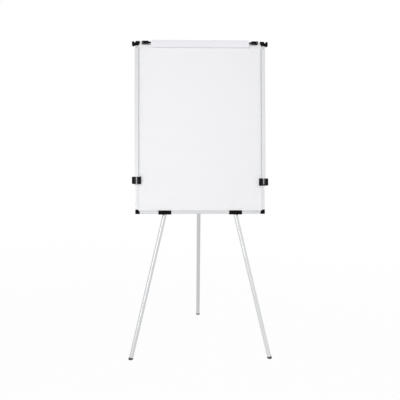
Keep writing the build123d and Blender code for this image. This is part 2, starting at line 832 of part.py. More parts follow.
for name, part in leg_parts(front_length, front_tongue).items():
    left = stand(name, board_plane.location * leg_plane.location * part)
    parts[name + "_left"] = left
    parts[name + "_right"] = flipped(left)
for name, part in leg_parts(rear_length, rear_tongue, rear_heel).items():
    parts[name + "_rear"] = stand(name, rear_plane.location * part)

# ------------------------------------------------------------------ put the board together
rail_top = mirror(rail_bottom, about=middle_plane)
side_holes = both_sides([frame_holes[0], upper_frame_holes[0]])
cross_holes = both_sides([frame_holes[1], upper_frame_holes[1]])
left_rail = cut_screws(rail_left, side_holes)
left_rail -= rod((arm_x, arm_y, -pivot_grip), (arm_x, arm_y, 1), pivot_radius + seat_gap)
add_board_pair("frame_rail", left_rail)
add_board("frame_rail_bottom", cut_screws(rail_bottom, cross_holes + both_sides(leg_bracket_holes)))
add_board("frame_rail_top", cut_screws(rail_top, cross_holes + both_sides(bracket_holes)))
add_board_pair("corner_cap_bottom", cut_screws(corner_piece(), frame_holes))
add_board_pair("corner_bracket_top", top_corner())
add_board("frame_screws", group([screw(hole) for hole in side_holes + cross_holes]))
add_board("writing_sheet", writing_sheet)
add_board("panel_core", cut_screws(panel_core, hub_holes))
add_board("backing_sheet", cut_screws(backing_sheet, hub_holes))

add_board_pair("arm", extension_arm())
add_board_pair("arm_end_plug", arm_end_plug())
add_board("arm_pivot_screws", group([arm_pivot_screw, flipped(arm_pivot_screw)]))
add_board("arm_pivot_bushes", group([arm_pivot_bush, flipped(arm_pivot_bush)]))
add_board("sheet_clip_left", sheet_clip(clip_left_height))
add_board("sheet_clip_right", flipped(sheet_clip(clip_right_height)))
add_board("sheet_clip_spring_left", clip_leaf(clip_left_height))
add_board("sheet_clip_spring_right", flipped(clip_leaf(clip_right_height)))

add_board("clamp_bar", clamp_bar)
add_board("clamp_grip", clamp_grip)
add_board("clamp_pins", group([clamp_pin, flipped(clamp_pin)]))
add_board_pair("clamp_bracket", clamp_bracket())
add_board("clamp_bracket_screws", group([screw(hole) for hole in both_sides(bracket_holes)]))
add_board("clamp_springs", group([clamp_spring(), flipped(clamp_spring())]))

add_board("hub_plate", cut_screws(hub_plate(), hub_holes))
add_board("hub_body", hub_body())
add_board("hub_screws", group([screw(hole) for hole in hub_holes]))
add_board("front_leg_pins", group([front_leg_pin(), flipped(front_leg_pin())]))
add_board("rear_leg_pin", rear_leg_pin())
add_board_pair("leg_bracket", leg_bracket())
add_board("leg_bracket_screws", group([screw(hole) for hole in both_sides(leg_bracket_holes)]))

# ------------------------------------------------------------------ centre the stance and write the files
stance = Compound(list(parts.values())).bounding_box()
centring = Pos(0, -(stance.min.Y + stance.max.Y) / 2, 0)
os.makedirs("parts", exist_ok=True)
for name, part in parts.items():
    export_step(centring * part, os.path.join("parts", name + ".step"))
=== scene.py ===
# %% [markdown]
# # A tripod flipchart easel, finished in Blender
#
# The easel's pieces come ready to scale from a CAD model: a white board in an aluminium frame, a
# sprung paper clamp, two extension arms with black clips, and three tube legs. Our work is what CAD
# leaves out: how each surface looks, the soft edges of moulded plastic, the rubber feet, the knobs
# and the screws. We load the model first and keep its box, so that we can show at the end that the
# easel kept its size.

# %% Load the model
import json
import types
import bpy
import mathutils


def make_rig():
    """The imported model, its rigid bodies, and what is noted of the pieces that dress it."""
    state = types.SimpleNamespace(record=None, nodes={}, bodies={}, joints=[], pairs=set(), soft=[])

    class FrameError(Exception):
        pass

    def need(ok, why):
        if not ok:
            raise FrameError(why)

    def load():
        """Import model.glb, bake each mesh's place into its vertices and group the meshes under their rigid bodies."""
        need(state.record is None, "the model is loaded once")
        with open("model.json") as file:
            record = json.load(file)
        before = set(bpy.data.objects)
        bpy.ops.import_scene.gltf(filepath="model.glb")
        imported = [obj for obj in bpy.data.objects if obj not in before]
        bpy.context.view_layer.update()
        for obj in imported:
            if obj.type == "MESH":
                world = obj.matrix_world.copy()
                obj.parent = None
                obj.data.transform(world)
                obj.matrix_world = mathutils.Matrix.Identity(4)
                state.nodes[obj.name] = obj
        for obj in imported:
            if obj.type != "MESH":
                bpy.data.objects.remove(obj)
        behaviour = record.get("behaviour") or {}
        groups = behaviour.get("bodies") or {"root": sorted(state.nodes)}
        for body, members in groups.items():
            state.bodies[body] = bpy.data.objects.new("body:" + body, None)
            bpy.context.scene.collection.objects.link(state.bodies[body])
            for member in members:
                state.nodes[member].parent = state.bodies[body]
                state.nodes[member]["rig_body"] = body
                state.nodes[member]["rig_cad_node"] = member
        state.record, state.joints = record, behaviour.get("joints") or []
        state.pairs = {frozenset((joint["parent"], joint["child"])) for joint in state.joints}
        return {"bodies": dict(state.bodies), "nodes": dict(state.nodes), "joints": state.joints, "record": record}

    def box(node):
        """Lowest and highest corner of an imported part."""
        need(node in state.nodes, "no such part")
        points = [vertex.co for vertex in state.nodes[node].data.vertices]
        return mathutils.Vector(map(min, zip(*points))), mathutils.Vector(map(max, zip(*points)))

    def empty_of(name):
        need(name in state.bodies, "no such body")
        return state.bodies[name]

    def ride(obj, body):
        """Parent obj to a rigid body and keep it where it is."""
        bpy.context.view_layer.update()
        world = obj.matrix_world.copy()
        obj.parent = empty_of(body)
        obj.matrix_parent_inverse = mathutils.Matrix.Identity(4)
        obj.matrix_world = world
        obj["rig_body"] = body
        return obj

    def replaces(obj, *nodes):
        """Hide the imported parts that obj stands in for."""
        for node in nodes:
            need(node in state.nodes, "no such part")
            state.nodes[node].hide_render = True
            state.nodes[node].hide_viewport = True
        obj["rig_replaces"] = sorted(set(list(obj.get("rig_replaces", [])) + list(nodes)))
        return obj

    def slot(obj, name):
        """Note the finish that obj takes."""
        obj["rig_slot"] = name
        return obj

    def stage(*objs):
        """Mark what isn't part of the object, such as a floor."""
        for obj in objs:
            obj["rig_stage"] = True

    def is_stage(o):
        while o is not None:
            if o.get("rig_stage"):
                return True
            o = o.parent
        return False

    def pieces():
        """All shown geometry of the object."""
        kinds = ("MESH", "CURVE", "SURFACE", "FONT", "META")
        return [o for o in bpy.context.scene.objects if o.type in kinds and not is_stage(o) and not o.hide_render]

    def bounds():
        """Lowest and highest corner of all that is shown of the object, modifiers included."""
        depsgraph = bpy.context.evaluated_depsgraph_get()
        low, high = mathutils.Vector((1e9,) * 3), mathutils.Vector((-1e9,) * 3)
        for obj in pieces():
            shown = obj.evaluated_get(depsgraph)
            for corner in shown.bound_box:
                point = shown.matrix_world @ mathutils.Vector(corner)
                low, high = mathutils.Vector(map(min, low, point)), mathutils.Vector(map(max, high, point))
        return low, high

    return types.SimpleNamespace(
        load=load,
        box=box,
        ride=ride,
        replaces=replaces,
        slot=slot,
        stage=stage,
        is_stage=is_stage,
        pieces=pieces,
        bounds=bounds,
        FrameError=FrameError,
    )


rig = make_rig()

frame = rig.load()
cad_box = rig.bounds()

import bpy, json, math
from mathutils import Matrix, Vector

nodes = frame["nodes"]
joints = {joint["name"]: joint for joint in frame["joints"]}
print(len(nodes), "pieces in", len(frame["bodies"]), "bodies; size", cad_box[1] - cad_box[0])

# %% [markdown]
# ## The easel's own directions
#
# The board leans back, so up and out of it aren't Blender's Z and Y. The joints know these
# directions: a clip slides up the board, and an arm swings round a line that stands straight out of
# it. Reading them from the joints keeps one truth, where typed angles could drift from the model.

# %% Directions up the board, out of it and up each leg
hands = ("left", "right")
sides = ("left", "right", "rear")
across = Vector((1, 0, 0))
world_up = Vector((0, 0, 1))
board_up = Vector(joints["clip_left_slide"]["axis"])
board_out = Vector(joints["arm_right_swing"]["axis"])
leg_up = {side: -Vector(joints[f"leg_{side}_extend"]["axis"]) for side in sides}
print("the board leans back", round(math.degrees(math.atan2(board_up.y, board_up.z)), 2), "degrees")

# %% [markdown]
# ## Camera
#
# The camera stands three metres in front of the easel, level with the middle of the board, and
# looks down a little. A camera's own axes start looking straight down, so we turn it up by 90
# degrees less the downward pitch, then round by the heading. The roll is the tenth of a degree that
# a tripod's head is off level. Writing the turns as matrices keeps their order plain.

# %% Camera
camera_place = Vector((-0.0729, -3.0891, 1.3180))
camera_heading = math.radians(-1.436)
camera_pitch = math.radians(7.973)
camera_roll = math.radians(-0.136)
camera_data = bpy.data.cameras.new("camera")
camera_data.sensor_width = 36.0
camera_data.lens = 44.61
camera = bpy.data.objects.new("camera", camera_data)
bpy.context.scene.collection.objects.link(camera)
camera.matrix_world = (
    Matrix.Translation(camera_place)
    @ Matrix.Rotation(camera_heading, 4, "Z")
    @ Matrix.Rotation(math.pi / 2 - camera_pitch, 4, "X")
    @ Matrix.Rotation(-camera_roll, 4, "Z")
)
bpy.context.scene.camera = camera
bpy.context.scene.view_settings.view_transform = "Standard"
print("camera", round(math.degrees(camera_data.angle), 1), "degrees wide")

# %% [markdown]
# ## Two small helpers for colours and nodes
#
# Paint charts give colours as sRGB hex codes, but shaders add up light in linear numbers, so one
# function turns the first into the second. The other adds a shader node, sets its options and
# fills its inputs, each with a value or with a link from an earlier node. With these two, every
# material below reads like its recipe.
#
# Makers think in millimetres and Blender in metres, so mm turns one into the other. A noise
# texture's scale counts its features in a metre, so a pattern of 4 mm has the scale 1 / (4 * mm).
# Its values seldom leave 0.3 to 0.7, so that is the span we stretch. A Mix node's inputs for
# numbers and for colours share their names, so the ones for colours go by number.

# %% Helpers for colours and nodes
mm = 0.001
noise_span = {"From Min": 0.3, "From Max": 0.7}
mix_factor, mix_first, mix_second, mix_result = 0, 6, 7, 2


def linear(hex_code):
    """An sRGB hex colour as the linear RGBA that a shader socket takes."""
    channels = [int(hex_code[i : i + 2], 16) / 255 for i in (1, 3, 5)]
    return [c / 12.92 if c <= 0.04045 else ((c + 0.055) / 1.055) ** 2.4 for c in channels] + [1.0]


def add_node(tree, kind, inputs=None, **settings):
    """Adds one shader node. Each input gets a value, or a link if it is given an output socket."""
    node = tree.nodes.new("ShaderNode" + kind)
    for name, value in settings.items():
        setattr(node, name, value)
    for name, value in (inputs or {}).items():
        if isinstance(value, bpy.types.NodeSocket):
            tree.links.new(value, node.inputs[name])
        else:
            node.inputs[name].default_value = value
    return node


print("middle grey is", [round(c, 3) for c in linear("#808080")])

# %% [markdown]
# ## Studio surroundings
#
# Product pictures are often taken against pure white. Making the lights strong enough to wash the
# background out would wash the white board out too. So the world tells rays apart: those from the
# camera, and those that mirror or pass through, see white, and the rest receive a softer light.
# Metal then reflects the same white room that the camera sees.

# %% World
def seen_directly(tree):
    """1 for camera, mirror and see-through rays, and 0 for the rest."""
    rays = add_node(tree, "LightPath").outputs
    seen = rays["Is Camera Ray"]
    for kind in ("Is Glossy Ray", "Is Transmission Ray"):
        seen = add_node(tree, "Math", {0: seen, 1: rays[kind]}, operation="MAXIMUM").outputs[0]
    return seen


white = linear("#FFFFFF")
room_light = 0.50
world = bpy.data.worlds.new("white room")
world.use_nodes = True
tree = world.node_tree
tree.nodes.clear()
brightness = {"Value": seen_directly(tree), "To Min": room_light, "To Max": 1.0}
strength = add_node(tree, "MapRange", brightness).outputs[0]
room = add_node(tree, "Background", {"Color": white, "Strength": strength})
add_node(tree, "OutputWorld", {"Surface": room.outputs[0]})
bpy.context.scene.world = world
print("room light", room_light)

# %% [markdown]
# ## Lights
#
# Two jobs need two kinds of lamp. Softboxes in front and behind light the paint, rubber and
# plastic, and throw the soft shadows. Mirrored in the metal they would burn it out, so they are
# hidden from mirror rays. Satin metal shows a blurred picture of what stands round it, and in a
# plain white room that is flat. So tall, narrow strip lamps draw a highlight down each tube, and
# are too small to light the paint much. One wide, faint sheen, low in front, makes the upright
# metal a little brighter towards the floor.

# %% Lights
easel_middle = (cad_box[0] + cad_box[1]) / 2


def softbox(name, place, width, height, radiance, mirrored):
    """An area lamp that faces the middle of the easel. A radiance of 1 is as bright as the room."""
    lamp = bpy.data.lights.new(name, "AREA")
    lamp.shape = "RECTANGLE"
    lamp.size = width
    lamp.size_y = height
    lamp.energy = radiance * math.pi * width * height
    towards = easel_middle - Vector(place)
    lamp_object = bpy.data.objects.new(name, lamp)
    lamp_object.location = place
    lamp_object.rotation_euler = towards.to_track_quat("-Z", "Y").to_euler()
    lamp_object.visible_camera = False
    lamp_object.visible_glossy = mirrored
    bpy.context.scene.collection.objects.link(lamp_object)
    print(name, round(lamp.energy, 1), "W from", round(towards.length, 2), "m")


softbox("front softbox", (-0.7, -5.2, 2.7), width=2.4, height=2.4, radiance=4.5, mirrored=False)
softbox("back softbox", (1.4, 4.6, 2.8), width=2.4, height=2.4, radiance=4.5, mirrored=False)
softbox("front sheen", (0.35, -5.0, 2.2), width=3.4, height=3.2, radiance=0.15, mirrored=True)
softbox("front strip", (-2.3, -4.5, 1.3), width=0.6, height=2.4, radiance=5.0, mirrored=True)
softbox("back strip", (2.3, 4.5, 1.3), width=0.6, height=2.4, radiance=3.0, mirrored=True)

# %% [markdown]
# ## Floor
#
# The floor must look as white as the room and still show the easel's shadow. A plain white floor
# would turn grey where the light falls off. Mixing in white light of its own lifts it to white for
# the same rays as the world does, and the small part left as ordinary paint holds a faint shadow.
# That part fades out away from the easel, so that no line shows where the floor meets the room.

# %% Floor
floor_size = 60.0
floor_glow = 0.94
fade_start, fade_end = 1.2, 4.0


def new_finish(name):
    """A material with an empty node tree, ready for a recipe. Returns it and its tree."""
    finish = bpy.data.materials.new(name)
    finish.use_nodes = True
    finish.node_tree.nodes.clear()
    return finish, finish.node_tree


floor_paint, tree = new_finish("floor")
place = add_node(tree, "TexCoord").outputs["Object"]
away = add_node(tree, "VectorMath", {0: place}, operation="LENGTH").outputs["Value"]
fade = {"Value": away, "From Min": fade_start, "From Max": fade_end, "To Min": floor_glow}
own_light = add_node(tree, "MapRange", fade).outputs[0]
lift = add_node(tree, "Math", {0: seen_directly(tree), 1: own_light}, operation="MULTIPLY")
paint = add_node(tree, "BsdfDiffuse", {"Color": white})
glow = add_node(tree, "Emission", {"Strength": 1.0})
both = add_node(tree, "MixShader", {0: lift.outputs[0], 1: paint.outputs[0], 2: glow.outputs[0]})
add_node(tree, "OutputMaterial", {"Surface": both.outputs[0]})

bpy.ops.mesh.primitive_plane_add(size=floor_size, location=(0, 0, 0))
floor = bpy.context.object
floor.name = "floor"
floor.data.materials.append(floor_paint)
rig.stage(floor)
print("floor", tuple(floor.dimensions))

# %% [markdown]
# ## Dressing a piece
#
# A piece from the model already has material slots. Putting our material in each slot changes the
# look and leaves the shape alone.

# %% Helper for dressing a piece
def dress(finish, *names):
    """Gives the named pieces this finish."""
    for name in names:
        for slot in nodes[name].material_slots:
            slot.material = finish
    print(finish.name, "on", ", ".join(names))


print(sum(len(nodes[name].material_slots) for name in nodes), "material slots to fill")

# %% [markdown]
# ## Drawn aluminium
#
# Rails, arms and legs are pressed or drawn through a die, which leaves fine lines along their
# length. They are then etched and anodised, which turns the shine to satin. A noise stretched along
# the piece gives those lines, because it is much finer across than along. A Mapping node of type
# Texture does the stretching, turned to each piece's own direction, and its scale is simply the
# size of one line. Real lines are a tenth of a millimetre apart, too fine to show from a few
# metres, so they are drawn at 1.5 mm. A second noise of hand-sized clouds, 110 mm, varies the
# gloss as handling does.

# %% Lines along a direction
def lines_along(tree, direction, width, length, detail):
    """A noise stretched into lines of the given width and length, along a direction."""
    stretch = {
        "Vector": add_node(tree, "TexCoord").outputs["Object"],
        "Rotation": world_up.rotation_difference(direction).to_euler(),
        "Scale": (width, width, length),
    }
    stretched = add_node(tree, "Mapping", stretch, vector_type="TEXTURE").outputs[0]
    lines = {"Vector": stretched, "Scale": 1.0, "Detail": detail}
    return add_node(tree, "TexNoise", lines).outputs[0]


lean = world_up.rotation_difference(board_up).angle
print("lines up the board are turned by", round(math.degrees(lean), 2), "degrees")

# %% Drawn, anodised aluminium
line_width, line_length = 1.5 * mm, 250 * mm
line_shade = 0.93
hand_size = 110 * mm


def drawn_aluminium(name, along, colour, shine):
    """Satin anodised metal with fine lines that run along the given direction."""
    finish, tree = new_finish(name)
    place = add_node(tree, "TexCoord").outputs["Object"]
    lines = lines_along(tree, along, line_width, line_length, detail=3.0)
    clouds = {"Vector": place, "Scale": 1 / hand_size, "Detail": 2.0}
    cloud = add_node(tree, "TexNoise", clouds).outputs[0]
    dark = [c * line_shade for c in linear(colour)[:3]] + [1.0]
    tones = {mix_factor: lines, mix_first: dark, mix_second: linear(colour)}
    tone = add_node(tree, "Mix", tones, data_type="RGBA").outputs[mix_result]
    polished, fingered = shine - 0.04, shine + 0.05
    handled = {"Value": cloud, **noise_span, "To Min": polished, "To Max": fingered}
    gloss = add_node(tree, "MapRange", handled).outputs[0]
    ridges = {"Height": lines, "Strength": 0.12, "Distance": 0.2 * mm}
    relief = add_node(tree, "Bump", ridges).outputs[0]
    metal = {"Base Color": tone, "Metallic": 1.0, "Roughness": gloss, "Normal": relief}
    shader = add_node(tree, "BsdfPrincipled", metal)
    add_node(tree, "OutputMaterial", {"Surface": shader.outputs[0]})
    return finish


print("lines", line_width / mm, "mm wide and", line_length / mm, "mm long")

# %% [markdown]
# ## The metals in their places
#
# Lines run along each bar, so a rail that lies across needs another material than one that stands.
# The clamp bar is the brightest. The rails that lie across are a little darker than the uprights, as
# painted shade for the bottom rail's face, which turns down from the light. Each leg's grey is
# painted shading: the rear leg is painted darker for the shade it stands in behind the board, and
# the right leg a little lighter than the left for the light it catches.

# %% Frame, clamp, arms and legs
# The rails across are a shade darker than the uprights: painted shade for the bottom rail.
rail_metal = drawn_aluminium("anodised aluminium, across", across, "#D7D8DA", shine=0.28)
upright_metal = drawn_aluminium("anodised aluminium, up the board", board_up, "#E0E1E3", shine=0.28)
clamp_metal = drawn_aluminium("bright anodised aluminium, across", across, "#EEEEF2", shine=0.30)
arm_metal = drawn_aluminium("anodised aluminium, arms", board_up, "#DFE0E2", shine=0.30)
dress(rail_metal, "frame_rail_top", "frame_rail_bottom")
dress(upright_metal, "frame_rail_left", "frame_rail_right")
dress(clamp_metal, "clamp_bar")
dress(arm_metal, "arm_left", "arm_right")
# Painted shading: the rear leg darker for its shade, the right leg lighter for its light.
painted_leg_shading = {"left": "#D8D9DB", "right": "#DEDFE1", "rear": "#CECFD1"}
for side in sides:
    name = f"anodised aluminium, {side} leg"
    shaded_leg_metal = drawn_aluminium(name, leg_up[side], painted_leg_shading[side], shine=0.30)
    dress(shaded_leg_metal, f"upper_tube_{side}", f"lower_tube_{side}")

# %% [markdown]
# ## White dry-wipe enamel
#
# The writing sheet is steel with a hard, glossy white enamel. It isn't a mirror: enamel flows into
# a very shallow orange peel as it bakes, and years of wiping leave faint sideways strokes that only
# show in the gloss. So the colour hardly changes, a noise stretched sideways moves the roughness,
# and a small noise drives a tiny bump. A stroke of the wiping hand is 300 mm long and 50 mm wide.
# The peel is drawn at 4 mm, about twice its real size, because a finer one wouldn't show.

# %% Writing sheet
stroke_length, stroke_width = 300 * mm, 50 * mm
peel_size = 4 * mm
enamel, tree = new_finish("white dry-wipe enamel")
place = add_node(tree, "TexCoord").outputs["Object"]
stretch = {"Vector": place, "Scale": (stroke_length, stroke_width, stroke_width)}
stroke_place = add_node(tree, "Mapping", stretch, vector_type="TEXTURE").outputs[0]
wiping = {"Vector": stroke_place, "Scale": 1.0, "Detail": 4.0}
strokes = add_node(tree, "TexNoise", wiping).outputs[0]
haze = {mix_factor: strokes, mix_first: linear("#F2F2F4"), mix_second: linear("#F4F4F6")}
tone = add_node(tree, "Mix", haze, data_type="RGBA").outputs[mix_result]
wiped = {"Value": strokes, **noise_span, "To Min": 0.22, "To Max": 0.27}
gloss = add_node(tree, "MapRange", wiped).outputs[0]
dimples = {"Vector": place, "Scale": 1 / peel_size, "Detail": 1.0}
peel = add_node(tree, "TexNoise", dimples).outputs[0]
ripples = {"Height": peel, "Strength": 0.05, "Distance": 0.3 * mm}
relief = add_node(tree, "Bump", ripples).outputs[0]
baked = {"Base Color": tone, "Roughness": gloss, "Normal": relief}
shader = add_node(tree, "BsdfPrincipled", baked)
add_node(tree, "OutputMaterial", {"Surface": shader.outputs[0]})
dress(enamel, "writing_sheet")

# %% [markdown]
# ## Moulded plastic
#
# Corners, clips and brackets are black ABS from steel moulds, which are spark-eroded to a fine
# matt grain. The hub, leg heads and collars carry load, so they are glass-filled nylon, greyer and
# rougher. One recipe makes both, and the arms' grey end plugs: a fine noise for the grain, and a
# wide, soft one of 33 mm for the uneven tone that moulding and handling leave. The real grain is
# near 0.2 mm, too fine to show, so it is drawn at 0.8 to 1.2 mm. Even black isn't 0: at a few parts
# in a thousand it still shows its shape. A white room would lay a grey veil over it, so the black
# ones mirror much less than the usual level of 0.5.

# %% Recipe for moulded plastic
cloud_size = 33 * mm


def moulded_plastic(name, colour, worn_colour, grain, shine, specular):
    """Plastic with a mould grain of the given size, and a shine that handling varies."""
    finish, tree = new_finish(name)
    place = add_node(tree, "TexCoord").outputs["Object"]
    etched = {"Vector": place, "Scale": 1 / grain, "Detail": 2.0}
    grains = add_node(tree, "TexNoise", etched).outputs[0]
    clouds = {"Vector": place, "Scale": 1 / cloud_size, "Detail": 3.0}
    cloud = add_node(tree, "TexNoise", clouds).outputs[0]
    uneven = {mix_factor: cloud, mix_first: linear(colour), mix_second: linear(worn_colour)}
    tone = add_node(tree, "Mix", uneven, data_type="RGBA").outputs[mix_result]
    polished, scuffed = shine - 0.06, shine + 0.06
    handled = {"Value": cloud, **noise_span, "To Min": polished, "To Max": scuffed}
    gloss = add_node(tree, "MapRange", handled).outputs[0]
    pits = {"Height": grains, "Strength": 0.25, "Distance": 0.2 * mm}
    relief = add_node(tree, "Bump", pits).outputs[0]
    plastic = {"Base Color": tone, "Roughness": gloss, "Normal": relief}
    plastic["Specular IOR Level"] = specular
    shader = add_node(tree, "BsdfPrincipled", plastic)
    add_node(tree, "OutputMaterial", {"Surface": shader.outputs[0]})
    return finish


print("uneven tone in patches of", cloud_size / mm, "mm")

# %% Black and grey plastics
black_abs = moulded_plastic(
    "black ABS", "#070708", "#0D0D0F", grain=0.8 * mm, shine=0.40, specular=0.08
)
black_nylon = moulded_plastic(
    "glass-filled nylon", "#101012", "#18181B", grain=1.2 * mm, shine=0.50, specular=0.12
)
grey_plastic = moulded_plastic(
    "grey polypropylene", "#B4B6BB", "#BEC0C4", grain=1.0 * mm, shine=0.50, specular=0.5
)
for hand in hands:
    dress(black_abs, f"corner_cap_bottom_{hand}", f"corner_bracket_top_{hand}")
    dress(black_abs, f"clamp_bracket_{hand}", f"leg_bracket_{hand}")
    dress(grey_plastic, f"arm_end_plug_{hand}")
for side in sides:
    dress(black_nylon, f"leg_head_{side}", f"lock_collar_{side}")
    dress(black_abs, f"lock_knob_{side}")
dress(black_nylon, "hub_body")

# %% [markdown]
# ## Painted highlight on the jaws
#
# Beside the slit, the front of the sheet clips' jaws is painted a soft grey: a painted highlight,
# as if the jaws caught the light there. It starts from the ABS above. It is measured across the
# piece from the middle of the slit, fades out between 2 and 17 mm from it, and is kept to the face
# that turns out of the board, so the clip's sides and back stay black. A noise of 2.5 mm breaks its
# edge.

# %% Recipe for the painted highlight on the jaws
glint_start, glint_end = 2 * mm, 17 * mm
glint_break_size, least_glint = 2.5 * mm, 0.8
turned_away, facing_out = 0.6, 0.95


def painted_jaw_glint(name, finish, slit_x, glint_colour):
    """A copy of a finish with a painted highlight on its front face, beside a slit."""
    glinting_finish = finish.copy()
    glinting_finish.name = name
    tree = glinting_finish.node_tree
    shader = next(node for node in tree.nodes if node.type == "BSDF_PRINCIPLED")
    black = shader.inputs["Base Color"].links[0].from_socket
    place = add_node(tree, "TexCoord").outputs

    from_slit = {0: place["Object"], 1: (-slit_x, 0.0, 0.0)}
    moved = add_node(tree, "VectorMath", from_slit, operation="ADD").outputs["Vector"]
    only_x = {0: moved, 1: (1.0, 0.0, 0.0)}
    sideways = add_node(tree, "VectorMath", only_x, operation="MULTIPLY").outputs["Vector"]
    distance = add_node(tree, "VectorMath", {0: sideways}, operation="LENGTH").outputs["Value"]
    near = {"Value": distance, "From Min": glint_start, "From Max": glint_end}
    near.update({"To Min": 1.0, "To Max": 0.0})
    beside = add_node(tree, "MapRange", near, interpolation_type="SMOOTHSTEP").outputs[0]

    outwards = {0: place["Normal"], 1: board_out}
    towards = add_node(tree, "VectorMath", outwards, operation="DOT_PRODUCT").outputs["Value"]
    front = {"Value": towards, "From Min": turned_away, "From Max": facing_out}
    facing = add_node(tree, "MapRange", front).outputs[0]
    # This noise only breaks the edge of the painted highlight.
    glint_breaks = {"Vector": place["Object"], "Scale": 1 / glint_break_size, "Detail": 2.0}
    scuffed = add_node(tree, "TexNoise", glint_breaks).outputs[0]
    patches = {"Value": scuffed, **noise_span, "To Min": least_glint}
    patchy = add_node(tree, "MapRange", patches).outputs[0]

    # The painted highlight: near the slit, on the face out of the board, with a broken edge.
    glint = beside
    for part in (facing, patchy):
        glint = add_node(tree, "Math", {0: glint, 1: part}, operation="MULTIPLY").outputs[0]
    tones = {mix_factor: glint, mix_first: black, mix_second: linear(glint_colour)}
    tone = add_node(tree, "Mix", tones, data_type="RGBA").outputs[mix_result]
    tree.links.new(tone, shader.inputs["Base Color"])
    return glinting_finish


print("wear fades from", glint_start / mm, "to", glint_end / mm, "mm beside the slit")

# %% Sheet clips
for hand in hands:
    low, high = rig.box(f"sheet_clip_{hand}")
    slit_x = (low[0] + high[0]) / 2
    # Each clip gets a painted highlight beside its slit.
    glinting_abs = painted_jaw_glint(f"black ABS with painted highlight, {hand} clip", black_abs, slit_x, "#444447")
    dress(glinting_abs, f"sheet_clip_{hand}")
    print("slit at", round(slit_x, 4), "m across")

# %% [markdown]
# ## Zinc-plated and spring steel
#
# Screws, pins and the hub's plate are plated with zinc and passivated, a bright grey that drifts
# between bluish and yellowish. Springs are left in their darker drawn wire. Both are metals, so
# their colour is the colour of what they mirror, and only the tint and the roughness vary. The tint
# drifts over 11 mm, the width of a pivot screw's head. The dull spangle of zinc is finer than the
# 1.1 mm that it is drawn at.

# %% Steels
tint_size, spangle_size = 11 * mm, 1.1 * mm


def plated_steel(name, cool, warm, shine):
    """Bright steel whose tint drifts from cool to warm."""
    finish, tree = new_finish(name)
    place = add_node(tree, "TexCoord").outputs["Object"]
    tints = {"Vector": place, "Scale": 1 / tint_size, "Detail": 2.0}
    drift = add_node(tree, "TexNoise", tints).outputs[0]
    spangles = {"Vector": place, "Scale": 1 / spangle_size, "Detail": 1.0}
    spangle = add_node(tree, "TexNoise", spangles).outputs[0]
    tones = {mix_factor: drift, mix_first: linear(cool), mix_second: linear(warm)}
    tone = add_node(tree, "Mix", tones, data_type="RGBA").outputs[mix_result]
    bright, dull = shine - 0.05, shine + 0.08
    plated = {"Value": spangle, **noise_span, "To Min": bright, "To Max": dull}
    gloss = add_node(tree, "MapRange", plated).outputs[0]
    steel = {"Base Color": tone, "Metallic": 1.0, "Roughness": gloss}
    shader = add_node(tree, "BsdfPrincipled", steel)
    add_node(tree, "OutputMaterial", {"Surface": shader.outputs[0]})
    return finish


zinc = plated_steel("zinc-plated steel", "#C2C8CF", "#CFCDC2", shine=0.30)
spring_steel = plated_steel("spring steel", "#8C8F94", "#97928A", shine=0.28)
dress(zinc, "frame_screws", "clamp_bracket_screws", "hub_screws", "leg_bracket_screws")
dress(zinc, "arm_pivot_screws", "clamp_pins", "front_leg_pins", "rear_leg_pin", "hub_plate")
dress(spring_steel, "clamp_springs", "sheet_clip_spring_left", "sheet_clip_spring_right")

# %% [markdown]
# ## Rubber and nylon
#
# The feet are grey rubber, and the clamp's grip strip is a paler one that doesn't mark paper.
# Rubber scatters light almost evenly, so its roughness is high, and dust makes it patchy, in spots
# of 8 mm. Its pits are a tenth of a millimetre wide, and are drawn at 0.7 mm so that they show. The
# pivot and guide bushes are natural nylon, a milky white that shines a little.

# %% Rubber and nylon
dust_size, pit_size = 8 * mm, 0.7 * mm


def soft_rubber(name, colour, dusty_colour):
    """Matt rubber with fine pits and patches of dust."""
    finish, tree = new_finish(name)
    place = add_node(tree, "TexCoord").outputs["Object"]
    spots = {"Vector": place, "Scale": 1 / dust_size, "Detail": 4.0}
    dust = add_node(tree, "TexNoise", spots).outputs[0]
    holes = {"Vector": place, "Scale": 1 / pit_size, "Detail": 1.0}
    pits = add_node(tree, "TexNoise", holes).outputs[0]
    dusty = {mix_factor: dust, mix_first: linear(colour), mix_second: linear(dusty_colour)}
    tone = add_node(tree, "Mix", dusty, data_type="RGBA").outputs[mix_result]
    pitted = {"Height": pits, "Strength": 0.3, "Distance": 0.2 * mm}
    relief = add_node(tree, "Bump", pitted).outputs[0]
    rubber = {"Base Color": tone, "Roughness": 0.85, "Normal": relief}
    shader = add_node(tree, "BsdfPrincipled", rubber)
    add_node(tree, "OutputMaterial", {"Surface": shader.outputs[0]})
    return finish


foot_rubber = soft_rubber("grey foot rubber", "#4E4E50", "#616162")
grip_rubber = soft_rubber("pale grip rubber", "#E2E2E5", "#EBEBED")
nylon = moulded_plastic(
    "natural nylon", "#DEDCD3", "#E6E4DC", grain=1.2 * mm, shine=0.42, specular=0.5
)
dress(foot_rubber, "foot_left", "foot_right", "foot_rear")
dress(grip_rubber, "clamp_grip")
dress(nylon, "arm_pivot_bushes", "guide_bush_left", "guide_bush_right", "guide_bush_rear")
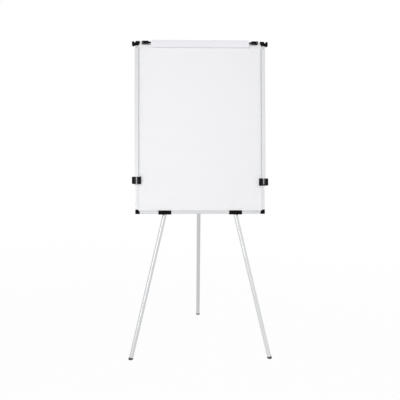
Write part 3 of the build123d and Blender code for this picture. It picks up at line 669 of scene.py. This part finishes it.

# %% [markdown]
# ## Back of the board
#
# Behind the enamelled sheet lie a honeycomb of kraft paper, which keeps the board flat and light,
# and a thin backing sheet of rolled aluminium. Rolling leaves streaks up the sheet, drawn 6 mm wide
# where real ones are about 1 mm, and its mill finish is duller than the rails. The core hides
# inside, yet it gets its 11 mm cells too: a Voronoi texture's distance to the nearest border draws
# the paper walls, and the middle of each cell is painted dark, as painted shade in its hollow.

# %% Backing sheet
streak_width, streak_length = 6 * mm, 600 * mm
smear_size = 200 * mm
backing, tree = new_finish("rolled backing sheet")
place = add_node(tree, "TexCoord").outputs["Object"]
streaks = lines_along(tree, board_up, streak_width, streak_length, detail=5.0)
hand_marks = {"Vector": place, "Scale": 1 / smear_size, "Detail": 4.0}
smears = add_node(tree, "TexNoise", hand_marks).outputs[0]
streaky = {mix_factor: streaks, mix_first: linear("#A6A8AB"), mix_second: linear("#B7B9BC")}
tone = add_node(tree, "Mix", streaky, data_type="RGBA").outputs[mix_result]
smeared = {"Value": smears, **noise_span, "To Min": 0.42, "To Max": 0.58}
gloss = add_node(tree, "MapRange", smeared).outputs[0]
rolled = {"Base Color": tone, "Metallic": 1.0, "Roughness": gloss}
shader = add_node(tree, "BsdfPrincipled", rolled)
add_node(tree, "OutputMaterial", {"Surface": shader.outputs[0]})
dress(backing, "backing_sheet")

# %% Honeycomb core
cell_size = 11 * mm
wall_edge, wall_end = 0.02, 0.10
core, tree = new_finish("kraft honeycomb")
place = add_node(tree, "TexCoord").outputs["Object"]
cells = {"Vector": place, "Scale": 1 / cell_size}
wall = add_node(tree, "TexVoronoi", cells, feature="DISTANCE_TO_EDGE").outputs["Distance"]
paper = {"Value": wall, "From Min": wall_edge, "From Max": wall_end}
painted_hollow_shade = add_node(tree, "MapRange", paper).outputs[0]
# The dark brown in each cell's middle is painted shade.
tones = {mix_factor: painted_hollow_shade, mix_first: linear("#B89D77"), mix_second: linear("#5A4A35")}
tone = add_node(tree, "Mix", tones, data_type="RGBA").outputs[mix_result]
kraft = {"Base Color": tone, "Roughness": 0.9}
shader = add_node(tree, "BsdfPrincipled", kraft)
add_node(tree, "OutputMaterial", {"Surface": shader.outputs[0]})
dress(core, "panel_core")

# %% [markdown]
# ## One piece at a time
#
# Blender's operators act on whatever is selected. A freshly loaded model is selected all over, and
# a new object, such as our floor, takes the selection for itself. So each job starts by selecting
# one object and nothing else. A finished piece then rides on its body, takes the place of the
# model's plain one, and keeps its finish.

# %% Helpers for modelling
def only(piece):
    """Selects one object and makes it the active one."""
    bpy.ops.object.select_all(action="DESELECT")
    piece.select_set(True)
    bpy.context.view_layer.objects.active = piece


def copy_of(piece, name):
    """A second object with its own copy of a piece's mesh."""
    twin = bpy.data.objects.new(name, piece.data.copy())
    bpy.context.scene.collection.objects.link(twin)
    return twin


def apply_modifier(piece, kind, **settings):
    """Adds a modifier with its settings and makes its result the mesh."""
    modifier = piece.modifiers.new(kind.lower(), kind)
    for name, value in settings.items():
        setattr(modifier, name, value)
    only(piece)
    bpy.ops.object.modifier_apply(modifier=modifier.name)


def stand_in(piece, name, slot):
    """Puts a finished piece in the place of the model's own, in its finish and on its body."""
    source = nodes[name]
    piece.name = f"{name}_piece"
    piece.data.materials.clear()
    piece.data.materials.append(source.material_slots[0].material)
    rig.ride(piece, source["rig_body"])
    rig.replaces(piece, name)
    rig.slot(piece, slot)
    print(piece.name, len(piece.data.polygons), "faces on", source["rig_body"])


print("selected before we start:", [piece.name for piece in bpy.context.selected_objects])

# %% [markdown]
# ## Soft edges on the mouldings
#
# No moulded edge is sharp: plastic shrinks as it cools, and moulds are cut with small radii, so
# each edge catches a thin line of light. The model's mouldings have sharp edges. Rather than build
# them again we take a copy, join its loose triangles, dissolve the flat ones into whole faces and
# bevel every edge sharper than 35 degrees. Big mouldings get a rounding of 0.5 mm or more, and the
# leg heads and collars, which run close to their tubes, get 0.4 mm.

# %% Mouldings with soft edges
same_point = 0.005 * mm
same_face = math.radians(2)
sharp_edge = math.radians(35)


def softened(name, rounding):
    """A copy of a moulding with its sharp edges rounded."""
    piece = copy_of(nodes[name], name)
    only(piece)
    bpy.ops.object.mode_set(mode="EDIT")
    bpy.ops.mesh.select_all(action="SELECT")
    bpy.ops.mesh.remove_doubles(threshold=same_point)
    bpy.ops.mesh.dissolve_limited(angle_limit=same_face)
    bpy.ops.object.mode_set(mode="OBJECT")
    sharp = {"limit_method": "ANGLE", "angle_limit": sharp_edge}
    apply_modifier(piece, "BEVEL", width=rounding, segments=2, use_clamp_overlap=True, **sharp)
    bpy.ops.object.shade_smooth_by_angle(angle=sharp_edge)
    stand_in(piece, name, "black_plastic")


for hand in hands:
    softened(f"sheet_clip_{hand}", 0.8 * mm)
    for moulding in ("corner_bracket_top", "corner_cap_bottom", "clamp_bracket", "leg_bracket"):
        softened(f"{moulding}_{hand}", 0.5 * mm)
softened("hub_body", 0.6 * mm)
for side in sides:
    softened(f"leg_head_{side}", 0.4 * mm)
    softened(f"lock_collar_{side}", 0.4 * mm)

# %% [markdown]
# ## Building from a primitive
#
# The feet, knobs and screws all start as a cylinder. Its faces are picked by where they are or
# which way they point, because that stays true when a size changes, and counting them doesn't. Each
# one is shaped upright at the origin, where numbers are simple, and only then moved to its place.

# %% Helpers for pieces that start as a cylinder
same_height = 0.01 * mm
smooth_angle = math.radians(40)


def cylinder(columns, radius, bottom, top):
    """An upright cylinder between two heights, with its place in its mesh."""
    middle = (0, 0, (bottom + top) / 2)
    bpy.ops.mesh.primitive_cylinder_add(
        vertices=columns, radius=radius, depth=top - bottom, location=middle
    )
    piece = bpy.context.object
    only(piece)
    bpy.ops.object.transform_apply(location=True, rotation=True, scale=True)
    return piece


def select_where(piece, test, kind="VERT"):
    """In edit mode, selects only the vertices, edges or faces that pass the test."""
    bpy.ops.mesh.select_mode(type=kind)
    bpy.ops.mesh.select_all(action="DESELECT")
    bpy.ops.object.mode_set(mode="OBJECT")
    mesh = piece.data
    for part in {"VERT": mesh.vertices, "EDGE": mesh.edges, "FACE": mesh.polygons}[kind]:
        part.select = test(part)
    bpy.ops.object.mode_set(mode="EDIT")


def faces_up(face):
    """Whether a face points up, give or take 25 degrees."""
    return face.normal.z > 0.9


def faces_down(face):
    """Whether a face points down, give or take 25 degrees."""
    return face.normal.z < -0.9


def move_to(piece, origin, up, side):
    """Moves a piece from the world's axes to the given ones, and keeps its object at the origin."""
    turn = Matrix((side, up.cross(side), up)).transposed().to_4x4()
    piece.matrix_world = Matrix.Translation(origin) @ turn
    only(piece)
    bpy.ops.object.transform_apply(location=True, rotation=True, scale=True)


print("edges under", round(math.degrees(smooth_angle)), "degrees will be shaded smooth")

# %% [markdown]
# ## Rubber feet
#
# Each foot is a moulded rubber ferrule, pushed into the end of its tube. It has a thicker collar at
# the top, two grooves that let it flex, and a sole that lies flat on the floor although the leg
# leans. We start from a cylinder and grow it ring by ring: extrude, then scale the new ring. The
# leg leans, so the flat sole comes last: the foot is placed on its leg and cut by the floor. Until
# then the cylinder is long enough to reach through the floor.

# %% A ferrule, ring by ring
foot_radius = 13.5 * mm
foot_height = 11 * mm
plug_radius = 11.25 * mm
plug_length = 22 * mm
blank_depth = 18 * mm
groove = 0.95
lead_in, lead_in_taper = 1 * mm, 0.93
foot_profile = (
    (0.3 * mm, groove),
    (0.7 * mm, 1.0),
    (0.3 * mm, 1 / groove),
    (0.9 * mm, 1.0),
    (0.3 * mm, groove),
    (0.7 * mm, 1.0),
    (0.3 * mm, 1 / groove),
    (1.4 * mm, 1.0),
    (0.7 * mm, groove),
)
foot_start = foot_height - sum(rise for rise, _ in foot_profile)


def grow(rise, scale):
    """Extrudes the selected ring up by a rise and scales the new ring."""
    bpy.ops.mesh.extrude_region_move(TRANSFORM_OT_translate={"value": (0, 0, rise)})
    bpy.ops.transform.resize(value=(scale, scale, 1))


ferrule = cylinder(64, radius=foot_radius, bottom=foot_start - blank_depth, top=foot_start)
bpy.ops.object.mode_set(mode="EDIT")
select_where(ferrule, faces_up, "FACE")
for rise, scale in foot_profile:
    grow(rise, scale)
grow(0, plug_radius / (foot_radius * groove))
grow(plug_length - lead_in, 1.0)
grow(lead_in, lead_in_taper)
bpy.ops.object.mode_set(mode="OBJECT")
plug_end = max(vertex.co.z for vertex in ferrule.data.vertices)
print("the ferrule's plug ends", round(plug_end / mm, 2), "mm above the floor's line")

# %% A foot on each leg
sole_rounding = 0.8 * mm


def rubber_foot(side):
    """A copy of the ferrule on one leg, cut level with the floor."""
    foot = copy_of(ferrule, "foot")
    pivot = Vector(joints[f"leg_{side}_fold"]["pos_m"])
    toe = pivot - leg_up[side] * (pivot.z / leg_up[side].z)
    move_to(foot, toe, leg_up[side], Vector(joints[f"knob_{side}_turn"]["axis"]))
    bpy.ops.object.mode_set(mode="EDIT")
    bpy.ops.mesh.select_all(action="SELECT")
    bpy.ops.mesh.bisect(plane_co=(0, 0, 0), plane_no=(0, 0, 1), use_fill=True, clear_inner=True)
    select_where(foot, lambda face: faces_down(face) and face.center.z < same_height, "FACE")
    bpy.ops.mesh.region_to_loop()
    bpy.ops.mesh.bevel(offset=sole_rounding, segments=3)
    bpy.ops.object.mode_set(mode="OBJECT")
    bpy.ops.object.shade_smooth_by_angle(angle=smooth_angle)
    lowest = min(vertex.co.z for vertex in foot.data.vertices)
    print("sole within", round(abs(lowest) / mm, 4), "mm of the floor")
    stand_in(foot, f"foot_{side}", "rubber")


for side in sides:
    rubber_foot(side)
bpy.data.objects.remove(ferrule)

# %% [markdown]
# ## Lock knobs
#
# A six-lobed thumb screw in each collar grips the upper tube. Lobes are easy to grow from a
# cylinder of 24 columns: every fourth column is pulled in for a flute, and its neighbours a little.
# The top is inset for a rim and dished, the rims get a narrow bevel to hold them, and a Subdivision
# Surface modifier rounds the rest. The screw itself is a second cylinder, joined by a Boolean, so
# it starts 4 mm up inside the knob.

# %% A cylinder pulled into lobes
knob_radius = 13 * mm
knob_height = 12 * mm
lobes = 6
columns = 4 * lobes
column_step = 2 * math.pi / columns
flute, shoulder = 0.80, 0.955


def column(vertex):
    """Which of the four columns of a lobe a vertex stands on: 0 is the flute."""
    return round(math.atan2(vertex.co.y, vertex.co.x) / column_step) % 4


knob = cylinder(columns, radius=knob_radius, bottom=0, top=knob_height)
bpy.ops.object.mode_set(mode="EDIT")
for pulled, scale in ((0, flute), (1, shoulder), (3, shoulder)):
    select_where(knob, lambda vertex: column(vertex) == pulled)
    bpy.ops.transform.resize(value=(scale, scale, 1), center_override=(0, 0, 0))
bpy.ops.object.mode_set(mode="OBJECT")
print(lobes, "lobes, flutes", round(knob_radius * (1 - flute) / mm, 2), "mm deep")

# %% Rims and dish
rim_rounding = 0.9 * mm
rim_width = 1.6 * mm
dish_steps = ((0.6 * mm, 1.0 * mm), (3.0 * mm, 0.3 * mm))


def level(edge):
    """Whether an edge of the knob runs round a rim, and not up a side."""
    start, end = (knob.data.vertices[i].co.z for i in edge.vertices)
    return round(start, 5) == round(end, 5)


bpy.ops.object.mode_set(mode="EDIT")
select_where(knob, level, "EDGE")
bpy.ops.mesh.bevel(offset=rim_rounding, segments=2)
select_where(
    knob, lambda face: faces_up(face) and face.center.z > knob_height - same_height, "FACE"
)
bpy.ops.mesh.inset(thickness=rim_width)
for width, drop in dish_steps:
    bpy.ops.mesh.inset(thickness=width)
    bpy.ops.transform.translate(value=(0, 0, -drop))
bpy.ops.object.mode_set(mode="OBJECT")
apply_modifier(knob, "SUBSURF", levels=2, render_levels=2)
print("knob", len(knob.data.polygons), "faces after rounding")

# %% The knob's screw
screw_radius = 3 * mm
screw_length = 12.97 * mm
screw_rooted = 4 * mm
shank = cylinder(32, radius=screw_radius, bottom=-screw_length, top=screw_rooted)
apply_modifier(knob, "BOOLEAN", operation="UNION", solver="EXACT", object=shank)
bpy.data.objects.remove(shank)
only(knob)
bpy.ops.object.shade_smooth_by_angle(angle=smooth_angle)
print("knob and screw", len(knob.data.polygons), "faces")

# %% A knob on each collar
knob_gap = 0.05 * mm
for side in sides:
    turn = joints[f"knob_{side}_turn"]
    outwards = Vector(turn["axis"])
    leg_knob = copy_of(knob, "knob")
    move_to(leg_knob, Vector(turn["pos_m"]) + outwards * knob_gap, outwards, leg_up[side])
    stand_in(leg_knob, f"lock_knob_{side}", "black_plastic")
bpy.data.objects.remove(knob)

# %% [markdown]
# ## Screws with a cross recess
#
# The model's screws are plain buttons. A real pan-head screw has a domed head and a cross pressed
# into it. We make one: a cylinder for the head with its top edge bevelled into a dome, a shank
# extruded from its underside, and two crossed wedges taken out with a Boolean. Each group of screws
# in the model is split into its separate ones, only to measure where they stand: the wider end of
# each is its head. Screws of a group are all alike, so one is modelled and the others are copies.

# %% Where the model's screws stand
end_depth = 0.1 * mm
small_screw = {"head_radius": 4 * mm, "head_height": 1.6 * mm, "shank_radius": 2 * mm}
large_screw = {"head_radius": 5.5 * mm, "head_height": 2.5 * mm, "shank_radius": 3 * mm}
screw_sizes = {
    "frame_screws": small_screw,
    "clamp_bracket_screws": small_screw,
    "hub_screws": small_screw,
    "leg_bracket_screws": small_screw,
    "arm_pivot_screws": large_screw,
}


def loose_parts(name):
    """The points of each separate solid in one of the model's pieces."""
    piece = copy_of(nodes[name], name)
    only(piece)
    bpy.ops.object.mode_set(mode="EDIT")
    bpy.ops.mesh.select_all(action="SELECT")
    bpy.ops.mesh.remove_doubles(threshold=0.002 * mm)
    bpy.ops.mesh.separate(type="LOOSE")
    bpy.ops.object.mode_set(mode="OBJECT")
    parts = list(bpy.context.selected_objects)
    points = [[vertex.co.copy() for vertex in part.data.vertices] for part in parts]
    for part in parts:
        bpy.data.objects.remove(part)
    return points


def span(points, direction):
    """The lowest and highest place of the points along a direction."""
    places = [point.dot(direction) for point in points]
    return min(places), max(places)


def screw_place(points, head_height):
    """Where a screw's seat is, which way its head points, and how long its shank is."""
    low, high = span(points, board_out)
    widths = []
    for end in (low, high):
        tip = [point for point in points if abs(point.dot(board_out) - end) < end_depth]
        left, right = span(tip, across)
        widths.append(right - left)
    up, head_end = (board_out, high) if widths[1] > widths[0] else (-board_out, -low)
    middle_across, middle_up = (sum(span(points, line)) / 2 for line in (across, board_up))
    seat = across * middle_across + board_up * middle_up + up * (head_end - head_height)
    return seat, up, high - low - head_height


screw_places = {}
for name, size in screw_sizes.items():
    screw_places[name] = [screw_place(points, size["head_height"]) for points in loose_parts(name)]
    shanks = [round(shank / mm, 3) for _, _, shank in screw_places[name]]
    print(name, len(shanks), "screws, shanks", min(shanks), "to", max(shanks), "mm")

# %% One pan-head screw
crown = 0.9
dome = 0.6
wedge_span, wedge_width, wedge_depth = 1.1, 0.24, 1.2
wedge_foot = 0.45


def recess_wedge(head_radius, head_height, turn):
    """One of the two blades that cut the cross. It narrows towards its foot."""
    bpy.ops.mesh.primitive_cube_add(size=1, location=(0, 0, head_height), rotation=(0, 0, turn))
    wedge = bpy.context.object
    wedge.scale = (head_radius * wedge_span, head_radius * wedge_width, head_height * wedge_depth)
    only(wedge)
    bpy.ops.object.transform_apply(location=True, rotation=True, scale=True)
    bpy.ops.object.mode_set(mode="EDIT")
    select_where(wedge, lambda vertex: vertex.co.z < head_height)
    bpy.ops.transform.resize(value=(wedge_foot, wedge_foot, 1), center_override=(0, 0, 0))
    bpy.ops.object.mode_set(mode="OBJECT")
    return wedge


def pan_screw(head_radius, head_height, shank_radius, shank_length):
    """A screw that stands on its seat at the origin, its head up."""
    screw = cylinder(40, radius=head_radius, bottom=0, top=head_height)
    bpy.ops.object.mode_set(mode="EDIT")
    select_where(screw, faces_down, "FACE")
    bpy.ops.mesh.inset(thickness=head_radius - shank_radius)
    bpy.ops.mesh.extrude_region_move(TRANSFORM_OT_translate={"value": (0, 0, -shank_length)})
    select_where(
        screw, lambda face: faces_up(face) and face.center.z > head_height * crown, "FACE"
    )
    bpy.ops.mesh.region_to_loop()
    bpy.ops.mesh.bevel(offset=head_height * dome, segments=4)
    bpy.ops.object.mode_set(mode="OBJECT")
    for turn in (0, math.pi / 2):
        wedge = recess_wedge(head_radius, head_height, turn)
        apply_modifier(screw, "BOOLEAN", operation="DIFFERENCE", solver="EXACT", object=wedge)
        bpy.data.objects.remove(wedge)
    only(screw)
    bpy.ops.object.shade_smooth_by_angle(angle=smooth_angle)
    return screw


print("cross", round(wedge_span * small_screw["head_radius"] / mm, 1), "mm wide in the small heads")

# %% Screws in their places
for name, size in screw_sizes.items():
    shank_length = screw_places[name][0][2]
    pattern = pan_screw(**size, shank_length=shank_length)
    screws = []
    for seat, up, _ in screw_places[name]:
        screw = copy_of(pattern, name)
        move_to(screw, seat, up, across)
        screws.append(screw)
    bpy.data.objects.remove(pattern)
    only(screws[0])
    for screw in screws:
        screw.select_set(True)
    bpy.ops.object.join()
    stand_in(screws[0], name, "zinc_steel")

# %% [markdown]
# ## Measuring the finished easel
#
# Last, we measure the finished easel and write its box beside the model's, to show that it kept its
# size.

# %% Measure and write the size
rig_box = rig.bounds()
with open("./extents.json", "w") as size_file:
    json.dump({"cad": [list(corner) for corner in cad_box], "visual": [list(corner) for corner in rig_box]}, size_file)
